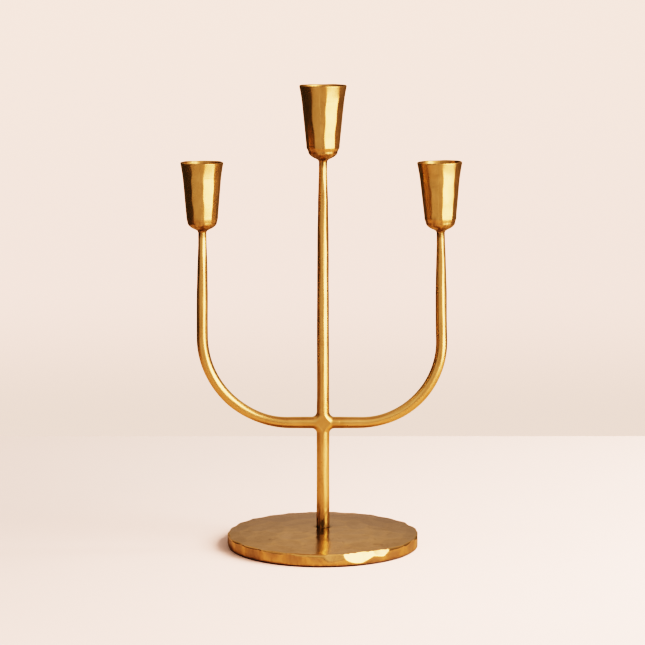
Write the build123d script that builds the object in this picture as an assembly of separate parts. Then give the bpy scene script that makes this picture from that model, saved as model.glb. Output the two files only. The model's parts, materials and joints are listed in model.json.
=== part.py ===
from build123d import *
import math
import os

# A three-light tabletop candelabra in hand-hammered brass.
# Origin: on the stem's axis, at the underside of the felt. +Z is up, +X is to the right
# as seen from the front, and the arms lie in the XZ plane. All sizes are in millimetres.

# Foot
BASE_RADIUS = 76.2
BASE_RIM_Z = 10.4
BASE_CROWN = 4.7
BASE_BEVEL_WIDTH = 2.0
BASE_BEVEL_DROP = 1.6
BASE_UNDER_CHAMFER = 0.6
FELT_RADIUS = 75.2
FELT_HOLE_RADIUS = 12.0
FELT_THICKNESS = 1.2
SPOT_FACE_DEPTH = 0.6
SPOT_FACE_RADIUS = 5.25
COUNTERBORE_RADIUS = 9.0
COUNTERBORE_DEPTH = 8.0

# Bolt that holds the stem to the foot: M6 x 20 hexagon head, plain and spring washers
BOLT_RADIUS = 3.0
BOLT_LENGTH = 20.0
BOLT_HOLE_RADIUS = 3.3
BOLT_HEAD_FLATS = 10.0
BOLT_HEAD_HEIGHT = 4.0
BOLT_TAP_DEPTH = 14.0
WASHER_RADIUS = 6.0
WASHER_HOLE_RADIUS = 3.2
WASHER_THICKNESS = 1.6
SPRING_WASHER_RADIUS = 5.6
SPRING_WASHER_HOLE_RADIUS = 3.05
SPRING_WASHER_THICKNESS = 1.6
SPRING_WASHER_SLIT = 1.2
SPRING_WASHER_SLIT_ANGLE = 35.0
WASHER_CHAMFER = 0.3
POINT_CHAMFER = 0.5
HEAD_CORNER_ANGLE = 30.0

# Cast cross at the middle
HUB_Z = 99.3
HUB_REACH = 13.0
HUB_UPRIGHT_RADIUS = 4.95
HUB_SIDE_RADIUS = 4.45
HUB_FILLET = 4.0
SPIGOT_RADIUS = 3.0
SPIGOT_LENGTH = 7.0

# Radius of the lower stem at heights above its foot, up to where it meets the hub
LOWER_STEM_PROFILE = ((5.15, 0.0), (5.05, 17.5), (4.9, 45.5))

# Arms, each a straight root, a quarter bend and an upright that narrows to its tip
ARM_ROOT_RADIUS = 4.45
ARM_WAIST_RADIUS = 4.1
ARM_BELLY_RADIUS = 4.45
ARM_UPRIGHT_RADIUS = 4.35
ARM_TIP_RADIUS = 3.1
ARM_TIP_Z = 250.0
# Radius along the bend, from its root at share 0 to its upper end at share 1
BEND_PROFILE = (
    (ARM_ROOT_RADIUS, 0.0),
    (ARM_WAIST_RADIUS, 0.2),
    (ARM_BELLY_RADIUS, 0.6),
    (ARM_UPRIGHT_RADIUS, 1.0),
)
# Radius of the upright, by the share of its length left above that point
UPRIGHT_PROFILE = (
    (ARM_UPRIGHT_RADIUS, 1.0),
    (ARM_UPRIGHT_RADIUS, 0.55),
    (3.95, 0.32),
    (3.35, 0.13),
    (ARM_TIP_RADIUS, 0.0),
)
LEFT_ARM = {"side": -1, "bend_x": 26.6, "bend_radius": 68.0, "lean": 0.0}
RIGHT_ARM = {"side": 1, "bend_x": 29.5, "bend_radius": 64.5, "lean": 1.2}

# Centre stem: the height of its tip, and its radius at heights above the table
STEM_TIP_Z = 305.4
CENTRE_STEM_PROFILE = (
    (4.75, 135.0),
    (4.65, 180.0),
    (4.45, 230.0),
    (4.15, 268.0),
    (3.5, 288.0),
    (3.1, STEM_TIP_Z),
)

# Cups. Heights run from the foot of the neck to the rim.
NECK_RADIUS = 3.15
NECK_LENGTH = 0.6
# Outline of the bowl's underside, shared by the cups, as radius and height
BOWL_PROFILE = ((4.2, 2.3), (8.1, 4.3), (10.8, 6.7))
BOWL_CORNER_INSET = 0.45
BOWL_CORNER_HEIGHT = 9.6
SEAT_RADIUS = 10.5
SEAT_LENGTH = 12.0
CUP_FLOOR = 9.5
SEAT_LEAD_IN = 0.4
SEAT_LEAD_IN_LENGTH = 1.0
RIM_WALL = 1.3
# Slope of the lip's outside where it ends, as run over rise
LIP_END_SLOPE = 0.45
SIDE_CUP_HEIGHT = 56.0
CENTRE_CUP_HEIGHT = 60.6
LEFT_CUP = {"height": SIDE_CUP_HEIGHT, "rim": 16.9, "flare": 15.0, "shoulder": 12.35}
RIGHT_CUP = {"height": SIDE_CUP_HEIGHT, "rim": 17.75, "flare": 15.5, "shoulder": 12.55}
CENTRE_CUP = {"height": CENTRE_CUP_HEIGHT, "rim": 18.6, "flare": 16.25, "shoulder": 12.9}
SHOULDER_HEIGHT = 13.0
FLARE_LENGTH = 13.0

# Screw through each cup's floor: M3 x 20 countersunk, cross recess
SCREW_RADIUS = 1.5
SCREW_LENGTH = 20.0
SCREW_HOLE_RADIUS = 1.7
SCREW_HEAD_RADIUS = 2.75
SCREW_TAP_SPARE = 2.5
RECESS_WIDTH = 0.8
RECESS_SPAN = 3.0
RECESS_DEPTH = 1.1

# Cone left by a drill at the end of a blind hole: half of a 118 degree point
DRILL_HALF_ANGLE = 59.0

FOOT_Z = BASE_RIM_Z + BASE_CROWN - SPOT_FACE_DEPTH
COUNTERBORE_Z = FELT_THICKNESS + COUNTERBORE_DEPTH


def turned(outline):
    """Turn a closed outline, drawn as (radius, height), about the Z axis."""
    return revolve(Plane.XZ * make_face(outline), Axis.Z)


def upright_cylinder(radius, low, high):
    """A plain cylinder on the Z axis between two heights."""
    return Pos(0, 0, low) * Cylinder(
        radius, high - low, align=(Align.CENTER, Align.CENTER, Align.MIN)
    )


def tube(outer, inner, low, high):
    """A plain ring on the Z axis between two heights."""
    return upright_cylinder(outer, low, high) - upright_cylinder(inner, low, high)


def blind_hole(radius, depth, mouth_z, downward):
    """The shape of a drilled blind hole on the Z axis, with its pointed end."""
    point = radius / math.tan(math.radians(DRILL_HALF_ANGLE))
    sign = -1 if downward else 1
    bottom = mouth_z + sign * depth
    outline = Polyline(
        (0, mouth_z), (radius, mouth_z), (radius, bottom), (0, bottom + sign * point), close=True
    )
    return turned(outline)


def spigot(root_z, upward):
    """The turned end of a rod that fits a socket in the hub, with a small lead-in."""
    sign = 1 if upward else -1
    tip = root_z + sign * SPIGOT_LENGTH
    outline = Polyline(
        (0, root_z),
        (SPIGOT_RADIUS, root_z),
        (SPIGOT_RADIUS, tip - sign * POINT_CHAMFER),
        (SPIGOT_RADIUS - POINT_CHAMFER, tip),
        (0, tip),
        close=True,
    )
    return turned(outline)


def rod(profile):
    """A round rod on the Z axis whose radius runs smoothly through (radius, height) points."""
    low = profile[0]
    high = profile[-1]
    outline = (
        Line((0, low[1]), low)
        + Spline(*profile)
        + Line(high, (0, high[1]))
        + Line((0, high[1]), (0, low[1]))
    )
    return turned(outline)


def base_disc():
    """The foot: a thick disc with a crowned top, a bevelled rim and a counterbore below."""
    bevel_inner = BASE_RADIUS - BASE_BEVEL_WIDTH
    top = BASE_RIM_Z + BASE_CROWN
    crown_radius = (bevel_inner**2 + BASE_CROWN**2) / (2 * BASE_CROWN)
    side_low = (BASE_RADIUS, FELT_THICKNESS + BASE_UNDER_CHAMFER)
    side_high = (BASE_RADIUS, BASE_RIM_Z - BASE_BEVEL_DROP)
    outline = (
        Line((0, FELT_THICKNESS), (BASE_RADIUS - BASE_UNDER_CHAMFER, FELT_THICKNESS))
        + Line((BASE_RADIUS - BASE_UNDER_CHAMFER, FELT_THICKNESS), side_low)
        + Line(side_low, side_high)
        + Line(side_high, (bevel_inner, BASE_RIM_Z))
        + RadiusArc((bevel_inner, BASE_RIM_Z), (0, top), -crown_radius)
        + Line((0, top), (0, FELT_THICKNESS))
    )
    disc = turned(outline)
    disc -= upright_cylinder(SPOT_FACE_RADIUS, FOOT_Z, top + 1)
    disc -= upright_cylinder(BOLT_HOLE_RADIUS, 0, top + 1)
    disc -= upright_cylinder(COUNTERBORE_RADIUS, 0, COUNTERBORE_Z)
    return disc


def base_felt():
    """The felt pad, cut with a hole that leaves the bolt within reach."""
    return tube(FELT_RADIUS, FELT_HOLE_RADIUS, 0, FELT_THICKNESS)


def base_washer():
    """The plain washer that bears on the counterbore's floor."""
    low = COUNTERBORE_Z - WASHER_THICKNESS
    ring = tube(WASHER_RADIUS, WASHER_HOLE_RADIUS, low, COUNTERBORE_Z)
    lower_edges = ring.edges().group_by(Axis.Z)[0]
    return chamfer(lower_edges.sort_by(SortBy.LENGTH)[-1], WASHER_CHAMFER)


def base_lock_washer():
    """The split spring washer, clamped flat."""
    high = COUNTERBORE_Z - WASHER_THICKNESS
    low = high - SPRING_WASHER_THICKNESS
    ring = tube(SPRING_WASHER_RADIUS, SPRING_WASHER_HOLE_RADIUS, low, high)
    slit = Box(SPRING_WASHER_RADIUS, SPRING_WASHER_SLIT, 4 * SPRING_WASHER_THICKNESS)
    slit = Rotation(SPRING_WASHER_SLIT_ANGLE, 0, 0) * slit
    return ring - Pos(SPRING_WASHER_RADIUS, 0, (low + high) / 2) * slit


def base_screw():
    """The M6 bolt: a hexagon head with its corners turned off, and a plain shank."""
    head_high = COUNTERBORE_Z - WASHER_THICKNESS - SPRING_WASHER_THICKNESS
    head_low = head_high - BOLT_HEAD_HEIGHT
    corner = BOLT_HEAD_FLATS / math.sqrt(3)
    hexagon = Plane.XY.offset(head_low) * RegularPolygon(corner, 6)
    head = extrude(hexagon, BOLT_HEAD_HEIGHT)
    turned_off = BOLT_HEAD_FLATS / 2
    drop = (corner - turned_off) * math.tan(math.radians(HEAD_CORNER_ANGLE))
    head &= turned(
        Polyline(
            (0, head_low),
            (turned_off, head_low),
            (corner, head_low + drop),
            (corner, head_high),
            (0, head_high),
            close=True,
        )
    )
    tip = head_high + BOLT_LENGTH
    shank = turned(
        Polyline(
            (0, head_high),
            (BOLT_RADIUS, head_high),
            (BOLT_RADIUS, tip - POINT_CHAMFER),
            (BOLT_RADIUS - POINT_CHAMFER, tip),
            (0, tip),
            close=True,
        )
    )
    return head + shank


def lower_stem():
    """The rod between the foot and the hub, tapped at the bottom for the bolt."""
    top = HUB_Z - HUB_REACH
    profile = [(radius, FOOT_Z + height) for radius, height in LOWER_STEM_PROFILE]
    stem = rod(profile + [(HUB_UPRIGHT_RADIUS, top)])
    stem += spigot(top, upward=True)
    return stem - blind_hole(BOLT_RADIUS, BOLT_TAP_DEPTH, FOOT_Z, downward=False)


def hub():
    """The cast cross: two crossing bars with filleted corners and a socket in each end."""
    upright = Cylinder(HUB_UPRIGHT_RADIUS, 2 * HUB_REACH)
    across = Rotation(0, 90, 0) * Cylinder(HUB_SIDE_RADIUS, 2 * HUB_REACH)
    cross = upright + across
    seams = cross.edges().filter_by(GeomType.BSPLINE)
    cross = fillet(seams, HUB_FILLET)
    for turn in range(4):
        socket = blind_hole(SPIGOT_RADIUS, SPIGOT_LENGTH, HUB_REACH, downward=True)
        cross -= Rotation(0, 90 * turn, 0) * socket
    return Pos(0, 0, HUB_Z) * cross


def centre_stem():
    """The tall rod that carries the centre cup, necked down towards its tip."""
    bottom = HUB_Z + HUB_REACH
    stem = rod([(HUB_UPRIGHT_RADIUS, bottom), *CENTRE_STEM_PROFILE])
    stem += spigot(bottom, upward=False)
    return stem - cup_tapping(STEM_TIP_Z)


def cup_tapping(mouth_z):
    """The tapped hole in the top of a rod that takes the screw from the cup."""
    depth = SCREW_LENGTH - CUP_FLOOR + SCREW_TAP_SPARE
    return blind_hole(SCREW_RADIUS, depth, mouth_z, downward=True)


def tip_place(arm):
    """Where a cup's neck meets its arm: a location whose +Z runs up the leaning arm."""
    lean = math.radians(arm["lean"])
    bend_z = HUB_Z + arm["bend_radius"]
    bend_end_x = arm["bend_x"] + arm["bend_radius"] * math.cos(lean)
    bend_end_z = bend_z + arm["bend_radius"] * math.sin(lean)
    rise = ARM_TIP_Z - bend_end_z
    tip_x = bend_end_x - rise * math.tan(lean)
    return Location((arm["side"] * tip_x, 0, ARM_TIP_Z), (0, -arm["side"] * arm["lean"], 0))


def arm_rod(arm):
    """One J-shaped arm: spigot, straight root, bend and upright, tapped at its tip."""
    side = arm["side"]
    radius = arm["bend_radius"]
    centre = (arm["bend_x"], HUB_Z + radius)
    root = Rotation(0, 90, 0) * (
        upright_cylinder(ARM_ROOT_RADIUS, HUB_REACH, arm["bend_x"])
        + spigot(HUB_REACH, upward=False)
    )
    root = Pos(0, 0, HUB_Z) * root

    path = Plane.XZ * CenterArc(centre, radius, -90, 90 + arm["lean"])
    sections = [
        Plane(origin=path @ share, z_dir=path % share) * Circle(section_radius)
        for section_radius, share in BEND_PROFILE
    ]
    bend = sweep(sections, path, multisection=True)

    lean = math.radians(arm["lean"])
    rise = (ARM_TIP_Z - centre[1] - radius * math.sin(lean)) / math.cos(lean)
    upright = rod([(section_radius, -rise * share) for section_radius, share in UPRIGHT_PROFILE])
    upright -= cup_tapping(0.0)
    if side < 0:
        root = mirror(root, Plane.YZ)
        bend = mirror(bend, Plane.YZ)
    return root + bend + tip_place(arm) * upright


def cup(sizes):
    """A candle cup standing on its neck at the origin: bowl, flared lip, seat and floor."""
    height = sizes["height"]
    rim = sizes["rim"]
    shoulder = (sizes["shoulder"], SHOULDER_HEIGHT)
    flare = (sizes["flare"], height - FLARE_LENGTH)
    lip_round = RIM_WALL / 2
    seat_top = CUP_FLOOR + SEAT_LENGTH
    neck_top = (NECK_RADIUS, NECK_LENGTH)
    lead_in = (SEAT_RADIUS + SEAT_LEAD_IN, seat_top + SEAT_LEAD_IN_LENGTH)
    wall_run = (flare[0] - shoulder[0], flare[1] - shoulder[1])
    bowl = Spline(
        neck_top,
        *BOWL_PROFILE,
        (sizes["shoulder"] - BOWL_CORNER_INSET, BOWL_CORNER_HEIGHT),
        shoulder,
        tangents=[(0, 1), wall_run],
    )
    lip = Spline(flare, (rim, height - lip_round), tangents=[wall_run, (LIP_END_SLOPE, 1)])
    rim_top = ThreePointArc(
        (rim, height - lip_round),
        (rim - lip_round, height),
        (rim - RIM_WALL, height - lip_round),
    )
    outline = (
        Line((0, 0), (NECK_RADIUS, 0))
        + Line((NECK_RADIUS, 0), neck_top)
        + bowl
        + Line(shoulder, flare)
        + lip
        + rim_top
        + Line((rim - RIM_WALL, height - lip_round), lead_in)
        + Line(lead_in, (SEAT_RADIUS, seat_top))
        + Line((SEAT_RADIUS, seat_top), (SEAT_RADIUS, CUP_FLOOR))
        + Line((SEAT_RADIUS, CUP_FLOOR), (0, CUP_FLOOR))
        + Line((0, CUP_FLOOR), (0, 0))
    )
    head_height = SCREW_HEAD_RADIUS - SCREW_HOLE_RADIUS
    screw_path = turned(
        Polyline(
            (0, -1),
            (SCREW_HOLE_RADIUS, -1),
            (SCREW_HOLE_RADIUS, CUP_FLOOR - head_height),
            (SCREW_HEAD_RADIUS, CUP_FLOOR),
            (0, CUP_FLOOR),
            close=True,
        )
    )
    return turned(outline) - screw_path


def cup_screw():
    """The countersunk screw, in the cup's frame: its head is flush with the cup's floor."""
    tip = CUP_FLOOR - SCREW_LENGTH
    head_low = CUP_FLOOR - (SCREW_HEAD_RADIUS - SCREW_RADIUS)
    body = turned(
        Polyline(
            (0, tip),
            (SCREW_RADIUS - POINT_CHAMFER, tip),
            (SCREW_RADIUS, tip + POINT_CHAMFER),
            (SCREW_RADIUS, head_low),
            (SCREW_HEAD_RADIUS, CUP_FLOOR),
            (0, CUP_FLOOR),
            close=True,
        )
    )
    slot = Pos(0, 0, CUP_FLOOR) * Box(RECESS_SPAN, RECESS_WIDTH, 2 * RECESS_DEPTH)
    return body - slot - Rotation(0, 0, 90) * slot


def build():
    """Every piece of the candelabra, by name, in its place."""
    centre_tip = Location((0, 0, STEM_TIP_Z))
    pieces = {
        "base_disc": base_disc(),
        "base_felt": base_felt(),
        "base_washer": base_washer(),
        "base_lock_washer": base_lock_washer(),
        "base_screw": base_screw(),
        "lower_stem": lower_stem(),
        "hub": hub(),
        "centre_stem": centre_stem(),
        "left_arm": arm_rod(LEFT_ARM),
        "right_arm": arm_rod(RIGHT_ARM),
    }
    lights = (
        ("left", tip_place(LEFT_ARM), LEFT_CUP),
        ("centre", centre_tip, CENTRE_CUP),
        ("right", tip_place(RIGHT_ARM), RIGHT_CUP),
    )
    for name, place, sizes in lights:
        pieces[name + "_cup"] = place * cup(sizes)
        pieces[name + "_cup_screw"] = place * cup_screw()
    return pieces


os.makedirs("parts", exist_ok=True)
for node, shape in build().items():
    solid = shape.solids()[0]
    print(node, "solids:", len(shape.solids()), "volume:", round(solid.volume, 1))
    export_step(solid, os.path.join("parts", node + ".step"))
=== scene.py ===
import json
import math
import bpy
import numpy as np
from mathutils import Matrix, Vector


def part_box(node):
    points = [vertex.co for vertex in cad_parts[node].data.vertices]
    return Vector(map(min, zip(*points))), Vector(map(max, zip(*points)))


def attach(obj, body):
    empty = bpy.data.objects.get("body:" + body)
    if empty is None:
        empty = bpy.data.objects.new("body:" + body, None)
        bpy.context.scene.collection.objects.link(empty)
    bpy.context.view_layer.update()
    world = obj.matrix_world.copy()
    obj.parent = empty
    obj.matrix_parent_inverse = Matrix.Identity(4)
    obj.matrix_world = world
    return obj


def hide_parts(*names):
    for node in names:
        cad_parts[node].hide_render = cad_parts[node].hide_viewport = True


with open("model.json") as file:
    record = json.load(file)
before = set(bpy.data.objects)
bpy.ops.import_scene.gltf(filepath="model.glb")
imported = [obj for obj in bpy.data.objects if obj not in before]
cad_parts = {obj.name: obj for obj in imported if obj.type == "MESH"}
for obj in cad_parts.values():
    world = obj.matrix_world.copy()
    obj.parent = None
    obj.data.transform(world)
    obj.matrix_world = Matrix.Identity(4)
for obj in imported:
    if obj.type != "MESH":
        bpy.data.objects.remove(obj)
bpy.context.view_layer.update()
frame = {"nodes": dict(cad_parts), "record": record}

# The hammered brass skins of the candelabra. Shapes are worked out in millimetres, in the
# CAD frame, and become metres when a mesh is made.
MM = 0.001
BODY = "root"
SHARP_ANGLE = math.radians(38)

# ---------------------------------------------------------------- places from the frame


def box_mm(node):
    """Lowest and highest corner of a CAD node, in millimetres."""
    low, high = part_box(node)
    return np.array(low) / MM, np.array(high) / MM


def candle_socket(side):
    """Mouth of a cup's candle seat and the direction out of it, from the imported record."""
    for mount in frame["record"]["mounts"]:
        if mount["name"] == side + "_candle_socket":
            return np.array(mount["pos_m"]) / MM, np.array(mount["axis"], float)
    raise ValueError(side)


HUB_LOW, HUB_HIGH = box_mm("hub")
HUB_Z = (HUB_LOW[2] + HUB_HIGH[2]) / 2
HUB_REACH = (HUB_HIGH[2] - HUB_LOW[2]) / 2
FOOT_Z = box_mm("lower_stem")[0][2]
STEM_TIP_Z = box_mm("centre_stem")[1][2]
BASE_LOW, BASE_HIGH = box_mm("base_disc")
BASE_RADIUS = BASE_HIGH[0]
FELT_LOW, FELT_HIGH = box_mm("base_felt")

# ---------------------------------------------------------------- mesh helpers


def smooth_step(value, start, end):
    """0 before start, 1 after end, smooth between."""
    share = np.clip((value - start) / (end - start), 0, 1)
    return share * share * (3 - 2 * share)


def eased(value, stations):
    """Value of a profile given as (place, amount) stations, eased between them."""
    places = np.array([place for place, _ in stations], float)
    amounts = np.array([amount for _, amount in stations], float)
    index = np.clip(np.searchsorted(places, value) - 1, 0, len(places) - 2)
    share = np.clip((value - places[index]) / (places[index + 1] - places[index]), 0, 1)
    share = 0.5 * share + 0.5 * share * share * (3 - 2 * share)
    return amounts[index] + share * (amounts[index + 1] - amounts[index])


def turn_between(angle, centre):
    """Signed angle from centre to angle, from -pi to pi."""
    return (angle - centre + np.pi) % (2 * np.pi) - np.pi


class SoftCut:
    """The softly rounded lowest of several surfaces, and how near each point is to a ridge."""

    def __init__(self, start, softness, ridge_width):
        self.floor = start - 4.0
        self.softness = softness
        self.ridge_width = ridge_width
        self.total = np.zeros_like(start)
        self.wide = np.zeros_like(start)
        self.wide_squares = np.zeros_like(start)
        self.add(start)

    def add(self, surface):
        height = surface - self.floor
        self.total += np.exp(-height / self.softness)
        share = np.exp(-height / self.ridge_width)
        self.wide += share
        self.wide_squares += share * share

    def result(self):
        return self.floor - self.softness * np.log(self.total)

    def ridge(self):
        return 1 - self.wide_squares / (self.wide * self.wide)


def round_points(radius, angle, height):
    """Points round the Z axis. Angle 0 is the front, and a positive angle is to the right."""
    return np.stack([radius * np.sin(angle), -radius * np.cos(angle), height], axis=-1)


def stacked(rows, columns):
    """One grid for each part of the rows, whose parts are numbers or run round a piece."""
    return [np.stack([part * np.ones(columns) for part in parts]) for parts in zip(*rows)]


def grid_faces(rows, columns, close_rows):
    """Quads of a grid whose columns run round, and whose rows close up too if asked."""
    last = rows if close_rows else rows - 1
    row = np.arange(last)[:, None]
    column = np.arange(columns)[None, :]
    next_row = (row + 1) % rows
    next_column = (column + 1) % columns
    corners = ((row, column), (row, next_column), (next_row, next_column), (next_row, column))
    return np.stack([r * columns + c for r, c in corners], axis=-1).reshape(-1, 4)


def cap_faces(columns, ring_start, centre, reverse):
    """Triangles from one ring of vertices to a centre vertex."""
    here = ring_start + np.arange(columns)
    there = ring_start + (np.arange(columns) + 1) % columns
    if reverse:
        here, there = there, here
    return np.stack([here, there, np.full(columns, centre)], axis=-1)


def new_piece(node, points, faces, material, ridge=None, grime_and_shade=None):
    """A smooth-shaded piece made from points in millimetres; it stands for one CAD node."""
    name = node + "_worked"
    mesh = bpy.data.meshes.new(name)
    mesh.from_pydata((points * MM).tolist(), [], [list(map(int, face)) for face in faces])
    mesh.update()
    mesh.shade_smooth()
    mesh.set_sharp_from_angle(angle=SHARP_ANGLE)
    for label, values in (("ridge", ridge), ("grime_and_shade", grime_and_shade)):
        if values is not None:
            attribute = mesh.attributes.new(label, "FLOAT", "POINT")
            attribute.data.foreach_set("value", values.reshape(-1).astype(np.float32))
    piece = bpy.data.objects.new(name, mesh)
    bpy.context.scene.collection.objects.link(piece)
    mesh.materials.append(material)
    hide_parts(node)
    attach(piece, BODY)
    return piece


# ---------------------------------------------------------------- materials


class Nodes:
    """Short forms for building the node tree of a material or of the world."""

    def __init__(self, owner, shader="Principled BSDF", coordinates="Object"):
        owner.use_nodes = True
        self.owner = owner
        self.tree = owner.node_tree
        self.shader = self.tree.nodes[shader]
        self.place = self.add("ShaderNodeTexCoord").outputs[coordinates]

    def add(self, kind, **settings):
        node = self.tree.nodes.new(kind)
        for key, value in settings.items():
            setattr(node, key, value)
        return node

    def link(self, source, target):
        self.tree.links.new(source, target)

    def scaled(self, stretch):
        """Coordinates multiplied by a factor along each axis."""
        mapping = self.add("ShaderNodeMapping")
        mapping.inputs["Scale"].default_value = stretch
        self.link(self.place, mapping.inputs["Vector"])
        return mapping.outputs["Vector"]

    def noise(self, scale, detail, rough, stretch=None, distortion=0.0):
        node = self.add("ShaderNodeTexNoise")
        node.inputs["Scale"].default_value = scale
        node.inputs["Detail"].default_value = detail
        node.inputs["Roughness"].default_value = rough
        node.inputs["Distortion"].default_value = distortion
        self.link(self.scaled(stretch) if stretch else self.place, node.inputs["Vector"])
        return node.outputs["Fac"]

    def ramp(self, source, stops, interpolation="LINEAR"):
        """A colour ramp through stops given as (position, colour)."""
        node = self.add("ShaderNodeValToRGB")
        node.color_ramp.interpolation = interpolation
        elements = node.color_ramp.elements
        while len(elements) < len(stops):
            elements.new(0.5)
        for element, (position, colour) in zip(elements, stops):
            element.position = position
            element.color = (*colour, 1.0)
        self.link(source, node.inputs["Fac"])
        return node.outputs["Color"]

    def range(self, source, low, high, new_low, new_high):
        """A value moved from one range to another, and kept inside it."""
        node = self.add("ShaderNodeMapRange")
        names = ("From Min", "From Max", "To Min", "To Max")
        for key, value in zip(names, (low, high, new_low, new_high)):
            node.inputs[key].default_value = value
        self.link(source, node.inputs["Value"])
        return node.outputs["Result"]

    def math(self, operation, first, second):
        node = self.add("ShaderNodeMath", operation=operation)
        for index, value in enumerate((first, second)):
            if isinstance(value, (int, float)):
                node.inputs[index].default_value = value
            else:
                self.link(value, node.inputs[index])
        return node.outputs["Value"]

    def mix(self, factor, first, second, blend="MIX"):
        """Two colours mixed; each of the three inputs is a socket or a plain value."""
        node = self.add("ShaderNodeMix", data_type="RGBA", blend_type=blend)
        for index, value in ((0, factor), (6, first), (7, second)):
            if isinstance(value, bpy.types.NodeSocket):
                self.link(value, node.inputs[index])
            else:
                node.inputs[index].default_value = value if index == 0 else (*value, 1.0)
        return node.outputs[2]

    def bump(self, height, distance, strength, after=None):
        node = self.add("ShaderNodeBump")
        node.inputs["Distance"].default_value = distance
        node.inputs["Strength"].default_value = strength
        self.link(height, node.inputs["Height"])
        if after is not None:
            self.link(after, node.inputs["Normal"])
        return node.outputs["Normal"]


# Tones of brass: thinly and thickly tarnished, at a grazing angle, and rubbed bright
BRIGHT_BRASS = (0.74, 0.54, 0.25)
DEEP_BRASS = (0.59, 0.42, 0.176)
EDGE_BRASS = (0.72, 0.76, 0.70)
RUBBED_BRASS = (0.81, 0.59, 0.275)
# Brown patina where no cloth reaches; the same dark brown is painted shade under and inside the
# cups, at the stem's joints and along the foot's low edge
GRIME_AND_SHADE = (0.10, 0.10, 0.048)
# How much rougher the stained places and the places of grime and painted shade are, and how much
# smoother the rubbed ones
STAIN_ROUGHER = 0.14
GRIME_AND_SHADE_ROUGHER = 0.12
RUBBED_SMOOTHER = 0.03


def brass(name, bright, dark, edge, rub, patina, worn, roughness, streaks=None):
    """Aged, hand-worked brass: tarnished metal, brown stains, grime and painted shade, ridges
    rubbed bright.

    patina and worn are the most that stains and rubbing cover. streaks scales a noise along
    each axis, for fine dark lines.
    """
    n = Nodes(bpy.data.materials.new(name))
    cloud = n.noise(55.0, 4.0, 0.62, distortion=0.6)
    fleck = n.noise(420.0, 3.0, 0.6)
    metal = n.ramp(cloud, [(0.34, dark), (0.66, bright)])
    speckle = n.range(fleck, 0.35, 0.75, 0.0, 1.0)
    metal = n.mix(n.math("MULTIPLY", speckle, 0.18), metal, dark)
    if streaks:
        streak = n.range(n.noise(1.0, 3.0, 0.6, stretch=streaks), 0.38, 0.68, 0.0, 0.35)
        metal = n.mix(streak, metal, dark)
    ridge = n.add("ShaderNodeAttribute", attribute_name="ridge").outputs["Fac"]
    rubbed = n.range(ridge, 0.12, 0.5, 0.0, worn)
    colour = n.mix(rubbed, metal, rub)
    stain = n.range(n.noise(95.0, 5.0, 0.68, distortion=1.2), 0.56, 0.76, 0.0, patina)
    colour = n.mix(stain, colour, tuple(part * 0.5 for part in dark))
    # The darkening attribute read here is partly real grime and partly painted shade: under and
    # inside the cups, under the cups' necks, round the stem's foot, along the foot's low edge and
    # on the rim's flats that face away from the key light. It also darkens the stem towards its
    # foot.
    grime_and_shade = n.add("ShaderNodeAttribute", attribute_name="grime_and_shade").outputs["Fac"]
    patchy = n.noise(1.0, 4.0, 0.6, stretch=(300.0, 300.0, 80.0), distortion=0.8)
    grime_and_shade = n.math("MULTIPLY", grime_and_shade, n.range(patchy, 0.42, 0.54, 0.3, 1.0))
    n.link(n.mix(grime_and_shade, colour, GRIME_AND_SHADE), n.shader.inputs["Base Color"])
    n.shader.inputs["Metallic"].default_value = 1.0
    n.shader.inputs["Specular Tint"].default_value = (*edge, 1.0)
    gloss = n.range(n.noise(62.0, 4.0, 0.6), 0.3, 0.7, roughness * 0.85, roughness * 1.2)
    gloss = n.math("ADD", gloss, n.math("MULTIPLY", stain, STAIN_ROUGHER))
    gloss = n.math("SUBTRACT", gloss, n.math("MULTIPLY", rubbed, RUBBED_SMOOTHER))
    gloss = n.math("ADD", gloss, n.math("MULTIPLY", grime_and_shade, GRIME_AND_SHADE_ROUGHER))
    n.link(gloss, n.shader.inputs["Roughness"])
    soft = n.bump(n.noise(150.0, 2.0, 0.5), 0.0004, 0.05)
    fine = n.bump(n.noise(1300.0, 2.0, 0.5), 0.00004, 0.10, soft)
    n.link(fine, n.shader.inputs["Normal"])
    return n.owner


def felt_material():
    """Black pressed wool: matt, with a fine tangled pile."""
    n = Nodes(bpy.data.materials.new("black_felt"))
    fibre = n.noise(1500.0, 4.0, 0.7, distortion=2.0)
    colour = n.ramp(fibre, [(0.3, (0.006, 0.005, 0.005)), (0.75, (0.026, 0.023, 0.021))])
    n.link(colour, n.shader.inputs["Base Color"])
    n.shader.inputs["Roughness"].default_value = 0.95
    n.shader.inputs["Sheen Weight"].default_value = 0.25
    n.shader.inputs["Sheen Roughness"].default_value = 0.6
    n.link(n.bump(fibre, 0.0003, 0.6), n.shader.inputs["Normal"])
    return n.owner


def turned_metal(name, bright, dark, roughness):
    """Machined metal with the fine rings that a lathe leaves."""
    n = Nodes(bpy.data.materials.new(name))
    rings = n.add("ShaderNodeTexWave", wave_type="RINGS", rings_direction="Z")
    rings.inputs["Scale"].default_value = 900.0
    rings.inputs["Distortion"].default_value = 1.5
    rings.inputs["Detail"].default_value = 2.0
    n.link(n.place, rings.inputs["Vector"])
    smudge = n.noise(260.0, 3.0, 0.6)
    n.link(n.ramp(smudge, [(0.3, dark), (0.7, bright)]), n.shader.inputs["Base Color"])
    n.shader.inputs["Metallic"].default_value = 1.0
    gloss = n.range(smudge, 0.2, 0.8, roughness * 0.8, roughness * 1.3)
    n.link(gloss, n.shader.inputs["Roughness"])
    n.link(n.bump(rings.outputs["Fac"], 0.00005, 0.35), n.shader.inputs["Normal"])
    return n.owner


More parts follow.
